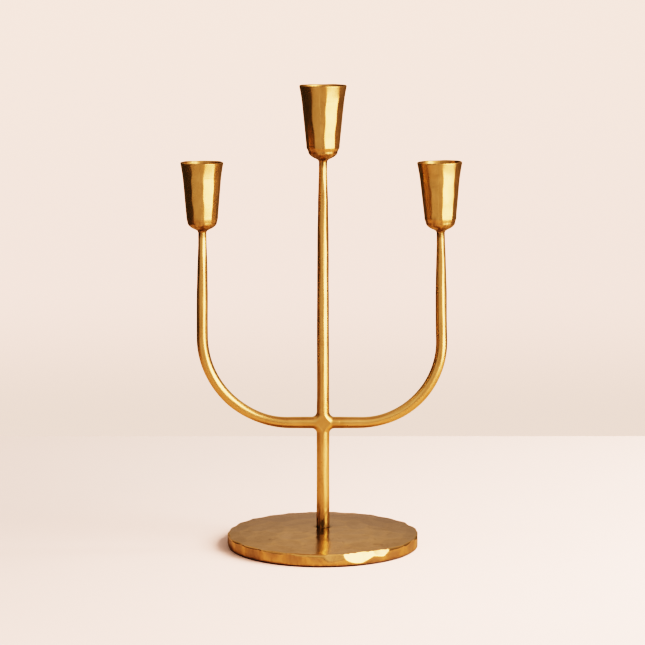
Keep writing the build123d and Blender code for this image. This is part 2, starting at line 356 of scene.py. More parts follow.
TARNISHED = (BRIGHT_BRASS, DEEP_BRASS, EDGE_BRASS, RUBBED_BRASS)
rod_brass = brass("rod_brass", *TARNISHED, patina=0.45, worn=0.6, roughness=0.30)
cup_brass = brass(
    "cup_brass", *TARNISHED, patina=0.45, worn=0.6, roughness=0.29, streaks=(620.0, 620.0, 26.0)
)
base_brass = brass(
    "base_brass",
    bright=(0.52, 0.41, 0.25),
    dark=(0.41, 0.315, 0.175),
    edge=(0.80, 0.85, 0.80),
    rub=BRIGHT_BRASS,
    patina=0.6,
    worn=0.9,
    roughness=0.18,
)
black_felt = felt_material()
screw_brass = turned_metal("screw_brass", (0.78, 0.55, 0.24), (0.60, 0.38, 0.14), 0.28)
zinc_steel = turned_metal("zinc_steel", (0.66, 0.66, 0.64), (0.42, 0.42, 0.41), 0.32)

# ---------------------------------------------------------------- hammered rods

ROD_COLUMNS = 160
ROD_ROW_STEP = 0.8
RIDGE_SOFTNESS = 0.05
RIDGE_WIDTH = 0.09
# How much of a rod's roundness is left across the width of a hammer mark
MARK_ROUNDNESS = 0.45
# The hammer marks come in between these distances from the hub's centre
HUB_CALM_START = 13.5
HUB_CALM_END = 20.0
# and they fade out over this length at a rod's tip
TIP_CALM = 5.0
# Between rings of marks along a rod, and the marks in each ring
BLOW_SPACING = 15.0
BLOWS_AROUND = 5
# Share of dark colour at the stem's foot, darker towards the foot in patches, and of painted
# shade under the cups
FOOT_DARKENING = 0.95
UNDER_CUP_SHADE = 0.85

# Radius of the upright rod at heights above the table
STEM_STATIONS = (
    (FOOT_Z, 5.12),
    (25.0, 5.2),
    (40.0, 5.1),
    (60.0, 5.02),
    (80.0, 5.08),
    (HUB_Z, 5.08),
    (120.0, 4.86),
    (172.0, 4.78),
    (222.0, 4.58),
    (252.0, 4.42),
    (274.0, 3.98),
    (288.0, 3.58),
    (297.0, 3.3),
    (STEM_TIP_Z, 3.2),
)

# Radius of an arm at distances along it from the hub's centre; the last stretch, which
# narrows to the cup, is given by the distance left to the tip
ARM_STATIONS = ((0.0, 4.6), (22.0, 4.56), (46.0, 4.2), (80.0, 4.5), (112.0, 4.55), (150.0, 4.45))
ARM_TIP_STATIONS = ((46.0, 4.4), (34.0, 4.16), (21.0, 3.84), (15.0, 3.6), (8.0, 3.34), (0.0, 3.2))


def hammer_blows(seed, start, end, depth):
    """Seeded marks on a rod: place along it, direction, depth, and radius along the rod."""
    random = np.random.default_rng(seed)
    blows = []
    place = start
    while place < end:
        offset = random.uniform(0, 2 * np.pi)
        for step in range(BLOWS_AROUND):
            blows.append(
                (
                    place + random.uniform(-0.45, 0.45) * BLOW_SPACING,
                    offset + (step + random.uniform(-0.3, 0.3)) * 2 * np.pi / BLOWS_AROUND,
                    depth * random.uniform(0.35, 1.25),
                    random.uniform(450.0, 1100.0),
                )
            )
        place += BLOW_SPACING * random.uniform(0.8, 1.25)
    return blows


def struck_radius(place, angle, radius, blows, calm):
    """Radius of a rod after its hammer marks, and its ridges; calm of 0 leaves it round."""
    cut = SoftCut(radius, RIDGE_SOFTNESS, RIDGE_WIDTH)
    for blow_place, blow_angle, depth, along in blows:
        turn = turn_between(angle, blow_angle)
        across = (1 - MARK_ROUNDNESS) * radius * turn * turn / 2
        cut.add(radius - depth * calm + (place - blow_place) ** 2 / (2 * along) + across)
    return cut.result(), cut.ridge() * calm


STEM_BLOWS = hammer_blows(seed=11, start=FOOT_Z + 4, end=STEM_TIP_Z - 4, depth=0.17)
ARM_BLOWS = {
    "left": hammer_blows(seed=23, start=16.0, end=212.0, depth=0.14),
    "right": hammer_blows(seed=37, start=16.0, end=206.0, depth=0.14),
}
SIDE_SIGN = {"left": -1, "right": 1}
BEND_RADIUS = {"left": 68.0, "right": 64.5}
# How far outwards each arm strays from a true line, from this distance on
ARM_STRAY = {"left": 0.55, "right": -0.5}
STRAY_START = 60.0


def stem_radius(height, angle):
    """Radius of the upright rod. Angle 0 is the front, and a positive angle is to the right."""
    radius = eased(height, STEM_STATIONS)
    from_hub = np.abs(height - HUB_Z)
    calm = smooth_step(from_hub, HUB_CALM_START, HUB_CALM_END)
    calm = calm * smooth_step(STEM_TIP_Z - height, 0.0, TIP_CALM)
    return struck_radius(height, angle, radius, STEM_BLOWS, calm)


class Arm:
    """A J-shaped arm's centre line and radius. Distances run from the hub's centre."""

    def __init__(self, side):
        self.side = side
        self.sign = SIDE_SIGN[side]
        self.bend = BEND_RADIUS[side]
        seat, axis = candle_socket(side)
        tip_z = box_mm(side + "_cup")[0][2]
        up = np.array([axis[0] * self.sign, axis[2]])
        tip = np.array([seat[0] * self.sign, seat[2]]) - up * ((seat[2] - tip_z) / up[1])
        lean = math.atan2(-up[0], up[1])
        rise = (HUB_Z + self.bend + self.bend * math.sin(lean) - tip_z) / up[1]
        bend_end = tip + up * rise
        # where the straight root ends, how long the bend is, and how long the whole arm is
        self.root = bend_end[0] - up[1] * self.bend
        self.arc = self.bend * (np.pi / 2 + lean)
        self.length = self.root + self.arc - rise

    def line(self, distance):
        """Centre line and the in-plane normal towards the bend's centre, in the (x, z) plane."""
        turn = np.clip((distance - self.root) / self.bend, 0, self.arc / self.bend)
        before = np.minimum(distance, self.root)
        after = np.maximum(distance - self.root - self.arc, 0)
        normal = np.stack([-np.sin(turn), np.cos(turn)], axis=-1)
        ahead = np.stack([np.cos(turn), np.sin(turn)], axis=-1)
        start = np.stack([before, np.full_like(before, HUB_Z)], axis=-1)
        bend = self.bend * np.stack([np.sin(turn), 1 - np.cos(turn)], axis=-1)
        centre = start + bend + ahead * after[..., None]
        # a hand-bent rod strays a little from a true line; both ends stay put
        share = smooth_step(distance, STRAY_START, self.length)
        centre = centre - normal * (ARM_STRAY[self.side] * np.sin(np.pi * share))[..., None]
        return centre, normal

    def radius(self, distance, angle):
        """Angle 0 faces the bend's centre, which is up at the root, and 90 degrees is front."""
        tip_part = eased(-(self.length - distance), [(-d, r) for d, r in ARM_TIP_STATIONS])
        root_part = eased(distance, ARM_STATIONS)
        radius = np.where(self.length - distance < ARM_TIP_STATIONS[0][0], tip_part, root_part)
        calm = smooth_step(distance, HUB_CALM_START, HUB_CALM_END)
        calm = calm * smooth_step(self.length - distance, 0.0, TIP_CALM)
        return struck_radius(distance, angle, radius, ARM_BLOWS[self.side], calm)


def rod_piece(name, rings, ridge, grime_and_shade, ends, material):
    """Closes a rod's rings of points with a cap at each end."""
    rows, columns, _ = rings.shape
    points = np.concatenate([rings.reshape(-1, 3), np.array(ends)])
    first, last = rows * columns, rows * columns + 1
    faces = list(grid_faces(rows, columns, False))
    faces += list(cap_faces(columns, 0, first, True))
    faces += list(cap_faces(columns, (rows - 1) * columns, last, False))
    ridge = np.concatenate([ridge.reshape(-1), [0.0, 0.0]])
    grime_and_shade = np.concatenate([grime_and_shade.reshape(-1), [0.0, 0.0]])
    return new_piece(name, points, faces, material, ridge, grime_and_shade)


def upright_rod(name, low, high):
    """The lower or the centre stem."""
    heights = np.linspace(low, high, int((high - low) / ROD_ROW_STEP) + 2)
    angles = np.arange(ROD_COLUMNS) * 2 * np.pi / ROD_COLUMNS
    height, angle = np.meshgrid(heights, angles, indexing="ij")
    radius, ridge = stem_radius(height, angle)
    rings = round_points(radius, angle, height)
    # Darker towards the foot in patches, and painted shade at the tip, under the cup
    at_foot = FOOT_DARKENING * (1 - smooth_step(height, FOOT_Z + 3, FOOT_Z + 32))
    at_tip = UNDER_CUP_SHADE * (1 - smooth_step(STEM_TIP_Z - height, 0.5, TIP_CALM))
    grime_and_shade = np.maximum(at_foot, at_tip)
    return rod_piece(name, rings, ridge, grime_and_shade, [(0, 0, low), (0, 0, high)], rod_brass)


def arm_rod(arm):
    """One arm, from the hub's end face to the foot of its cup."""
    count = int((arm.length - HUB_REACH) / ROD_ROW_STEP) + 2
    distances = np.linspace(HUB_REACH, arm.length, count)
    angles = np.arange(ROD_COLUMNS) * 2 * np.pi / ROD_COLUMNS
    distance, angle = np.meshgrid(distances, angles, indexing="ij")
    radius, ridge = arm.radius(distance, angle)
    centre, normal = arm.line(distance)
    across = radius * np.cos(angle)
    x = arm.sign * (centre[..., 0] + normal[..., 0] * across)
    z = centre[..., 1] + normal[..., 1] * across
    rings = np.stack([x, -radius * np.sin(angle), z], axis=-1)
    # Painted shade at the tip, under the cup
    grime_and_shade = UNDER_CUP_SHADE * (1 - smooth_step(arm.length - distance, 0.5, TIP_CALM))
    # the left arm is a mirror image, so its rings run the other way round
    if arm.sign < 0:
        rings = rings[:, ::-1]
        ridge = ridge[:, ::-1]
    ends_2d, _ = arm.line(np.array([HUB_REACH, arm.length]))
    ends = [(arm.sign * x, 0, z) for x, z in ends_2d]
    return rod_piece(arm.side + "_arm", rings, ridge, grime_and_shade, ends, rod_brass)


# ---------------------------------------------------------------- the hub

HUB_FILLET = 4.0
# Front and back are hammered flat this far from the rods' axes, and rise past the reach
HUB_FACE = 4.85
HUB_FACE_REACH = 5.5
HUB_FACE_RISE = 0.14
HUB_FACE_SOFTNESS = 0.16
HUB_HALF_DEPTH = 7.0
HUB_CELL = 0.285
# The hub's ends tuck this far into the rods, so that no gap shows at the joint
HUB_TUCK = 0.4
# The mesh is moved onto the true surface in a few steps, each at most this long
HUB_SETTLE_STEPS = 3
HUB_SETTLE_LIMIT = 0.2
SLOPE_PROBE = 0.02
LEAST_SLOPE = 0.25


def hub_depth(points, arms):
    """Signed distance, roughly, from the hub's surface: below 0 inside."""
    x, y, z = points[..., 0], points[..., 1], points[..., 2] - HUB_Z
    upright, _ = stem_radius(z + HUB_Z, np.arctan2(x, -y))
    arm_angle = np.arctan2(-y, z)
    left, _ = arms["left"].radius(np.abs(x), arm_angle)
    right, _ = arms["right"].radius(np.abs(x), arm_angle)
    across = np.where(x < 0, left, right)
    tuck_z = HUB_TUCK * smooth_step(np.abs(z), HUB_REACH - 0.1, HUB_REACH + HUB_TUCK)
    tuck_x = HUB_TUCK * smooth_step(np.abs(x), HUB_REACH - 0.1, HUB_REACH + HUB_TUCK)
    to_upright = np.hypot(x, y) - upright + tuck_z
    to_across = np.hypot(y, z) - across + tuck_x
    near_upright = np.maximum(HUB_FILLET - to_upright, 0)
    near_across = np.maximum(HUB_FILLET - to_across, 0)
    depth = np.maximum(HUB_FILLET, np.minimum(to_upright, to_across))
    depth = depth - np.hypot(near_upright, near_across)
    cut = SoftCut(-depth, HUB_FACE_SOFTNESS, 0.3)
    rise = HUB_FACE_RISE * np.maximum(np.abs(x) + np.abs(z) - HUB_FACE_REACH, 0)
    for front in (-1, 1):
        cut.add(HUB_FACE + rise - front * y)
    end = HUB_REACH + HUB_TUCK
    return np.maximum.reduce([-cut.result(), np.abs(x) - end, np.abs(z) - end])


def surface_net(depth, low, cell):
    """Closed quad mesh of the surface where a sampled field crosses 0."""
    inside = depth < 0
    shape = np.array(depth.shape) - 1
    corners = [(i, j, k) for i in (0, 1) for j in (0, 1) for k in (0, 1)]

    def corner(values, offset):
        i, j, k = offset
        return values[i : i + shape[0], j : j + shape[1], k : k + shape[2]]

    count = sum(corner(inside, offset).astype(int) for offset in corners)
    cells = np.argwhere((count > 0) & (count < 8))
    number = -np.ones(shape, int)
    number[tuple(cells.T)] = np.arange(len(cells))
    total = np.zeros((len(cells), 3))
    hits = np.zeros(len(cells))
    for first in corners:
        for axis in range(3):
            if first[axis]:
                continue
            second = tuple(1 if a == axis else first[a] for a in range(3))
            one = corner(depth, first)[tuple(cells.T)]
            two = corner(depth, second)[tuple(cells.T)]
            crossed = (one < 0) != (two < 0)
            share = np.where(crossed, one / np.where(crossed, one - two, 1.0), 0)
            point = np.tile(np.array(first, float), (len(cells), 1))
            point[:, axis] += share
            total += point * crossed[:, None]
            hits += crossed
    points = low + (cells + total / hits[:, None]) * cell
    quads = []
    for axis in range(3):
        other, third = (axis + 1) % 3, (axis + 2) % 3
        here = np.take(inside, range(depth.shape[axis] - 1), axis)
        there = np.take(inside, range(1, depth.shape[axis]), axis)
        for edge in np.argwhere(here != there):
            around = []
            for step_other, step_third in ((0, 0), (-1, 0), (-1, -1), (0, -1)):
                place = edge.copy()
                place[other] += step_other
                place[third] += step_third
                around.append(number[tuple(place)])
            quads.append(around if here[tuple(edge)] else around[::-1])
    return points, np.array(quads)


def hub_piece(arms):
    """The cross: both rods run together with fillets, and their crossing hammered flat."""
    reach = HUB_REACH + HUB_TUCK + 1.5 * HUB_CELL
    half = np.array([reach, HUB_HALF_DEPTH, reach])
    low = np.array([0, 0, HUB_Z]) - half
    counts = (2 * half / HUB_CELL).astype(int) + 1
    axes = [low[a] + HUB_CELL * np.arange(counts[a]) for a in range(3)]
    lattice = np.stack(np.meshgrid(*axes, indexing="ij"), axis=-1)
    points, quads = surface_net(hub_depth(lattice, arms), low, HUB_CELL)
    for _ in range(HUB_SETTLE_STEPS):
        depth = hub_depth(points, arms)
        probes = points[:, None, :] + SLOPE_PROBE * np.eye(3)
        slope = (hub_depth(probes, arms) - depth[:, None]) / SLOPE_PROBE
        size = np.maximum((slope**2).sum(axis=-1), LEAST_SLOPE)
        move = np.clip(depth / size, -HUB_SETTLE_LIMIT, HUB_SETTLE_LIMIT)
        points = points - move[:, None] * slope
    return new_piece("hub", points, quads, rod_brass, np.zeros(len(points)))


# ---------------------------------------------------------------- the cups

CUP_COLUMNS = 240
# Heights above the foot of the neck, and radii, as in the CAD cups
CUP_FLOOR = 9.5
SEAT_RADIUS = 10.5
SEAT_TOP = 21.5
SEAT_LEAD_IN = 0.4
SCREW_HOLE = 1.7
SCREW_HEAD = 2.75
CUP_SHOULDER = 14.0
# Shoulder radius that the bowl stations are written for
CAD_SHOULDER = 12.3
# The lip's flare, over its length below the rim, and how quickly it comes in
LIP_LENGTH = 14.0
LIP_FLARE = 0.85
LIP_POWER = 1.8
# The rim is a half round of this thickness, which starts this far below the top
RIM_WALL = 1.3
RIM_DROP = 1.2
RIM_SWELL = 0.12
RIM_ROWS = 7
# How flat a facet is, from 0, round, to 1, and how deep its dents are, as a share of radius
FACET_FLATNESS = 0.6
FACET_DENT = 0.014
# Share of painted shade under a bowl and inside it
UNDER_BOWL_SHADE = 0.85
INNER_CUP_SHADE = 0.4
# Underside of the bowl, shared by the cups, as height and radius
BOWL_STATIONS = (
    (0.0, 3.20), (0.9, 3.32), (2.2, 4.1), (4.3, 8.1), (6.7, 10.85), (9.3, 11.75), (11.6, 12.12)
)
# Angles of the edges between the long facets, from the front, to the right
CUP_EDGES = {
    "left": (-57, -30, -2, 8, 40, 65, 91, 126, 162, 198, 235, 270),
    "centre": (-58, -30, -7, 7, 44, 68, 93, 128, 164, 200, 236, 271),
    "right": (-60, -33, -9, 6, 45, 69, 93, 128, 164, 200, 236, 270),
}
CUP_SHOULDER_RADIUS = {"left": 12.5, "centre": 13.1, "right": 12.7}
CUP_SEEDS = {"left": 5, "centre": 8, "right": 13}


def cup_outline(height, side, tall, rim):
    """Outer radius of a cup before it is hammered, at heights above the foot of its neck."""
    shoulder = CUP_SHOULDER_RADIUS[side]
    slope = (rim - LIP_FLARE - shoulder) / (tall - CUP_SHOULDER)
    wall = shoulder + slope * (height - CUP_SHOULDER)
    lip = np.clip((height - tall + LIP_LENGTH) / LIP_LENGTH, 0, 1)
    wall = wall + LIP_FLARE * lip**LIP_POWER
    places = np.array([place for place, _ in BOWL_STATIONS] + [CUP_SHOULDER, CUP_SHOULDER + 2])
    bowl_radii = [radius for _, radius in BOWL_STATIONS]
    bowl_radii[-1] *= shoulder / CAD_SHOULDER
    radii = np.array(bowl_radii + [shoulder, shoulder + 2 * slope])
    bowl = smooth_curve(height, places, radii)
    return np.where(height < CUP_SHOULDER, bowl, wall)


def smooth_curve(value, places, amounts):
    """A curve through stations with matching slopes where its spans meet."""
    slopes = np.gradient(amounts, places)
    slopes[0] = 0.0
    slopes[-2] = slopes[-1]
    index = np.clip(np.searchsorted(places, value) - 1, 0, len(places) - 2)
    span = places[index + 1] - places[index]
    share = np.clip((value - places[index]) / span, 0, 1)
    square, cube = share**2, share**3
    return (
        (2 * cube - 3 * square + 1) * amounts[index]
        + (cube - 2 * square + share) * span * slopes[index]
        + (3 * square - 2 * cube) * amounts[index + 1]
        + (cube - square) * span * slopes[index + 1]
    )


def facet_share(height, angle, side, tall):
    """How deep the facets cut, as a share of the radius, and the ridges between them."""
    random = np.random.default_rng(CUP_SEEDS[side])
    edges = np.radians(np.array(CUP_EDGES[side], float))
    count = len(edges)
    stray = np.radians(random.uniform(1.8, 3.6, count))
    phase = random.uniform(0, 2 * np.pi, count)
    waves = random.uniform(0.7, 1.5, count)
    level = height / tall

    def wander(k):
        slow = np.sin(2 * np.pi * waves[k] * level + phase[k])
        quick = np.sin(2 * np.pi * 2.7 * waves[k] * level + 2 * phase[k])
        return stray[k] * (0.7 * slow + 0.45 * quick)

    cut = np.zeros_like(angle)
    ridge = np.zeros_like(angle)
    for k in range(count):
        after = (k + 1) % count
        wrap = 2 * np.pi if after == 0 else 0
        low = edges[k] + wander(k)
        high = edges[after] + wrap + wander(after)
        centre, half = (low + high) / 2, (high - low) / 2
        part = turn_between(angle, centre) / half
        inside = np.abs(part) <= 1
        # a parabola across the facet stands for its chord
        depth = FACET_FLATNESS * (1 - np.cos(half)) * (1 - part**2)
        # two seeded breaks divide the facet into three shallow dents, one above another
        breaks = np.sort(random.uniform(0.12, 0.9, 2))
        breaks = np.concatenate([[0.0], breaks, [1.02]])
        dent = np.zeros_like(level)
        for start, end in zip(breaks[:-1], breaks[1:]):
            place = (level - (start + end) / 2) / ((end - start) / 2)
            dent = np.where(np.abs(place) <= 1, (1 - place**2) * (end - start), dent)
        depth = depth + FACET_DENT * dent * (1 - part**2)
        cut = np.where(inside, depth, cut)
        ridge = np.where(inside, np.abs(part) ** 14, ridge)
    # the edges between facets are eased twice
    for _ in range(2):
        cut = 0.5 * cut + 0.25 * (np.roll(cut, 1, axis=1) + np.roll(cut, -1, axis=1))
    return cut, ridge


def cup_inside(lip, tall):
    """Rows of (radius, height) from the rim's inner side, down the seat, to the neck's foot."""
    rows = []
    lead_in = SEAT_RADIUS + SEAT_LEAD_IN
    mouth = lip.mean() - RIM_WALL
    for height in np.linspace(tall - 1.0, SEAT_TOP + 1.0, 40):
        share = (height - SEAT_TOP - 1.0) / (tall - 2.0 - SEAT_TOP)
        radius = lead_in + share * (mouth - lead_in)
        rows.append((radius + (lip - lip.mean()) * smooth_step(height, tall - 16, tall), height))
    countersink = CUP_FLOOR - (SCREW_HEAD - SCREW_HOLE)
    rows += [
        (SEAT_RADIUS, SEAT_TOP),
        (SEAT_RADIUS, SEAT_TOP - 0.3),
        (SEAT_RADIUS, 16.0),
        (SEAT_RADIUS, CUP_FLOOR + 0.6),
        (SEAT_RADIUS - 0.15, CUP_FLOOR + 0.2),
        (SEAT_RADIUS - 0.5, CUP_FLOOR),
        (7.0, CUP_FLOOR),
        (SCREW_HEAD + 0.4, CUP_FLOOR),
        (SCREW_HEAD + 0.05, CUP_FLOOR - 0.05),
        (SCREW_HOLE, countersink),
        (SCREW_HOLE, countersink - 0.3),
        (SCREW_HOLE, 0.3),
        (SCREW_HOLE + 0.1, 0.0),
    ]
    return rows


def cup_piece(side):
    """A cup: hammered outside, smooth inside, with a parallel seat, a floor and a screw hole."""
    seat, axis = candle_socket(side)
    low, high = box_mm(side + "_cup")
    foot = seat - axis * ((seat[2] - low[2]) / axis[2])
    tall = SEAT_TOP + (high[2] - seat[2]) / axis[2]
    heights = np.concatenate([np.linspace(0, 12, 30)[:-1], np.linspace(12, tall - RIM_DROP, 80)])
    worked = len(heights)
    angles = np.arange(CUP_COLUMNS) * 2 * np.pi / CUP_COLUMNS
    height, angle = np.meshgrid(heights, angles, indexing="ij")
    cut, ridge = facet_share(height, angle, side, tall)
    fade = smooth_step(height, 4.5, 12.0) * (1 - 0.7 * smooth_step(height, tall - 12, tall))
    outer = cup_outline(height, side, tall, high[1] + 0.1) * (1 - cut * fade)
    rows = list(zip(outer, heights))
    lip = outer[-1] + RIM_SWELL
    for turn in np.pi * np.linspace(0.1, 0.9, RIM_ROWS):
        radius = lip - RIM_WALL / 2 * (1 - np.cos(turn))
        rows.append((radius, tall - RIM_DROP + RIM_DROP * np.sin(turn)))
    rows += cup_inside(lip, tall)
    rows.append((outer[0].min() - 0.15, 0.0))
    radius, height = stacked(rows, CUP_COLUMNS)
    # the rim is a little low and uneven, as hammering leaves it
    wave = 0.12 * np.sin(3 * angles + 1.0) + 0.06 * np.sin(7 * angles + CUP_SEEDS[side])
    height = height + wave * smooth_step(height, tall - 12, tall) - 0.25 * (height > tall - 12)
    right = np.cross([0, 1.0, 0], axis)
    back = np.array([0, 1.0, 0])
    points = (
        foot
        + (radius * np.sin(angles))[..., None] * right
        - (radius * np.cos(angles))[..., None] * back
        + height[..., None] * axis
    )
    all_ridge = np.zeros(radius.shape)
    all_ridge[:worked] = ridge * fade
    all_ridge[worked : worked + 3] = 0.3
    # Painted shade inside the cup and under its bowl
    grime_and_shade = np.full(radius.shape, INNER_CUP_SHADE)
    grime_and_shade[:worked] = UNDER_BOWL_SHADE * (1 - smooth_step(heights[:, None], 4.0, 15.0))
    faces = grid_faces(len(rows), CUP_COLUMNS, True)
    points = points.reshape(-1, 3)
    return new_piece(side + "_cup", points, faces, cup_brass, all_ridge, grime_and_shade)


# ---------------------------------------------------------------- the foot

BASE_COLUMNS = 640
BASE_RIM_ROWS = 50
BASE_TOP_STEP = 1.1
# Height of the foot's rim, below its crown
BASE_RIM_Z = 10.4
# The rim is cut outwards from a ring of anchors inside it
ANCHOR_RADIUS = BASE_RADIUS - 9.0
ANCHOR_Z = 5.2
SPOT_RADIUS = 5.25
BOLT_HOLE = 3.3
COUNTERBORE = 9.0
COUNTERBORE_DEPTH = 8.0
FELT_HOLE = 12.0
EDGE_SOFTNESS = 0.10
RIM_RIDGE_WIDTH = 0.25
UNDER_CHAMFER = 0.55
# How round a flat on the wall is
FLAT_ROUNDNESS = 900.0
# A distance past everything in a section, and the least speed that a ray closes a gap at
FAR = 60.0
LEAST_SPEED = 0.05
# Flats round the wall: direction from the front, depth, lean of the face, and the share of dark
# patina left on it. That share is partly painted shade: the flats on the left, away from the key
# light, are darkest, and those on the front right nearly clean.
SIDE_FLATS = (
    (-84, 0.55, 1.0, 0.42),
    (-62, 0.45, 3.0, 0.30),
    (-46, 0.75, -1.0, 0.38),
    (-31, 0.45, 4.0, 0.06),
    (-17, 0.55, 1.5, 0.26),
    (-3, 0.40, 5.0, 0.04),
    (9, 0.35, 2.0, 0.0),
    (31, 0.65, -1.0, 0.02),
    (47, 0.70, 1.0, 0.06),
    (66, 0.60, 2.0, 0.20),
    (88, 0.80, 0.0, 0.32),
    (109, 0.55, 1.5, 0.12),
    (131, 0.90, -1.0, 0.34),
    (152, 0.60, 1.0, 0.18),
    (173, 0.80, 2.0, 0.30),
    (195, 0.60, 0.0, 0.10),
    (217, 0.85, 1.0, 0.36),
    (238, 0.60, -1.0, 0.22),
    (259, 0.75, 1.5, 0.30),
)
# How brightly the bevels and the top's ridges are rubbed
BEVEL_POLISH = 0.4
TOP_POLISH = 0.3
# Bevels hammered on the top edge: direction, how far in they reach, tilt above level, and
# how round the hammer's face was along the edge
BEVELS = (
    (-82, 1.8, 50, 70),
    (-64, 1.9, 48, 80),
    (-47, 1.8, 44, 90),
    (-30, 1.9, 46, 90),
    (-14, 1.6, 38, 90),
    (-3, 1.9, 34, 90),
    (7, 1.7, 14, 400),
    (23, 2.9, 20, 400),
    (35, 2.4, 24, 300),
    (47, 1.7, 27, 200),
    (62, 1.7, 40, 90),
    (79, 2.0, 48, 80),
    (96, 2.3, 54, 60),
    (112, 2.8, 58, 44),
    (127, 2.4, 56, 50),
    (141, 3.2, 61, 38),
    (154, 2.6, 58, 46),
    (167, 3.4, 62, 36),
    (181, 2.6, 58, 46),
    (195, 3.4, 62, 36),
    (208, 2.6, 58, 46),
    (222, 3.2, 61, 38),
    (236, 2.5, 57, 48),
    (250, 2.6, 56, 46),
    (264, 2.0, 50, 60),
)


def top_dents():
    """Seeded hammer marks on the foot's top: place, heading, depth and two crown radii."""
    random = np.random.default_rng(71)
    dents = []
    for ring in np.arange(13.0, 74.0, 11.5):
        count = max(5, int(2 * np.pi * ring / 25.0))
        offset = random.uniform(0, 2 * np.pi)
        for step in range(count):
            angle = offset + (step + random.uniform(-0.35, 0.35)) * 2 * np.pi / count
            reach = ring + random.uniform(-3.0, 3.0)
            heading = angle + random.uniform(-0.6, 0.6)
            depth = random.uniform(0.05, 0.42)
            along, across = random.uniform(420.0, 900.0), random.uniform(160.0, 320.0)
            dents.append((reach, angle, heading, depth, along, across))
    return dents


def base_top(x, y):
    """Height of the foot's crowned and hammered top, and its ridges."""
    crown = BASE_HIGH[2] - BASE_RIM_Z
    reach = np.hypot(x, y)
    level = BASE_HIGH[2] - crown * (reach / (BASE_RADIUS - 2.0)) ** 2
    cut = SoftCut(level, 0.035, 0.06)
    for place, angle, heading, depth, along, across in TOP_DENTS:
        off_x, off_y = x - place * np.sin(angle), y + place * np.cos(angle)
        outward = off_x * np.sin(heading) - off_y * np.cos(heading)
        round_way = off_x * np.cos(heading) + off_y * np.sin(heading)
        cut.add(level - depth + outward**2 / (2 * across) + round_way**2 / (2 * along))
    height = cut.result()
    calm = smooth_step(reach, SPOT_RADIUS + 0.5, SPOT_RADIUS + 7.0)
    return level + (height - level) * calm, cut.ridge() * calm


TOP_DENTS = top_dents()


def ray_length(gap, speed, least=LEAST_SPEED):
    """How far a ray goes to close a gap at a speed; FAR where it hardly closes it."""
    return np.minimum(np.where(speed > least, gap / np.maximum(speed, least), FAR), FAR)


def strike_reach(angle, out, up, direction, tilt, place, roundness):
    """Distance to a hammered face that looks one way, tilted up, through a place in section."""
    tilt = math.radians(tilt)
    turn = turn_between(angle, math.radians(direction))
    level = math.cos(tilt) * np.cos(turn)
    start = ANCHOR_RADIUS * level + ANCHOR_Z * math.sin(tilt)
    end = place[0] * math.cos(tilt) + place[1] * math.sin(tilt)
    end = end + (BASE_RADIUS * np.sin(turn)) ** 2 / (2 * roundness)
    reach = ray_length(end - start, level * out + math.sin(tilt) * up)
    return np.where(np.abs(turn) < 0.6, reach, FAR)


def base_rim(angle, turn, bottom):
    """The rim's distance from the anchor ring, its ridges and its patina, partly painted shade,
    by angle and turn.
    """
    out, up = np.cos(turn), np.sin(turn)
    to_side = ray_length(BASE_RADIUS - ANCHOR_RADIUS, out, 1e-3)
    cut = SoftCut(to_side, EDGE_SOFTNESS, RIM_RIDGE_WIDTH)
    cut.add(ray_length(ANCHOR_Z - bottom, -up, 1e-3))
    under = BASE_RADIUS - UNDER_CHAMFER - ANCHOR_RADIUS
    cut.add(ray_length(under + ANCHOR_Z - bottom, out - up))
    # the top is crowned, so its distance is found in a few rounds, starting near the rim
    to_top = np.full_like(turn, FAR)
    for _ in range(4):
        reach = ANCHOR_RADIUS + np.where(to_top > 20, 6.0, to_top) * out
        level, _ = base_top(reach * np.sin(angle), -reach * np.cos(angle))
        to_top = ray_length(level - ANCHOR_Z, up)
    cut.add(to_top)
    # The patina of each flat is partly painted shade, darkest on the flats away from the key
    # light
    flat, patina = np.full_like(turn, FAR), np.zeros_like(turn)
    for direction, depth, lean, dark in SIDE_FLATS:
        place = (BASE_RADIUS - depth, 6.0)
        face = strike_reach(angle, out, up, direction, lean, place, FLAT_ROUNDNESS)
        cut.add(face)
        patina = np.where(face < flat, dark, patina)
        flat = np.minimum(flat, face)
    bevel = np.full_like(turn, FAR)
    for direction, inset, tilt, roundness in BEVELS:
        place = (BASE_RADIUS - inset, BASE_RIM_Z)
        face = strike_reach(angle, out, up, direction, tilt, place, roundness)
        cut.add(face)
        bevel = np.minimum(bevel, face)
    rim = cut.result()
    on_flat = 1 - smooth_step(flat - rim, 0.1, 0.35)
    on_bevel = 1 - smooth_step(bevel - rim, 0.1, 0.35)
    return rim, np.maximum(cut.ridge(), BEVEL_POLISH * on_bevel), patina * on_flat


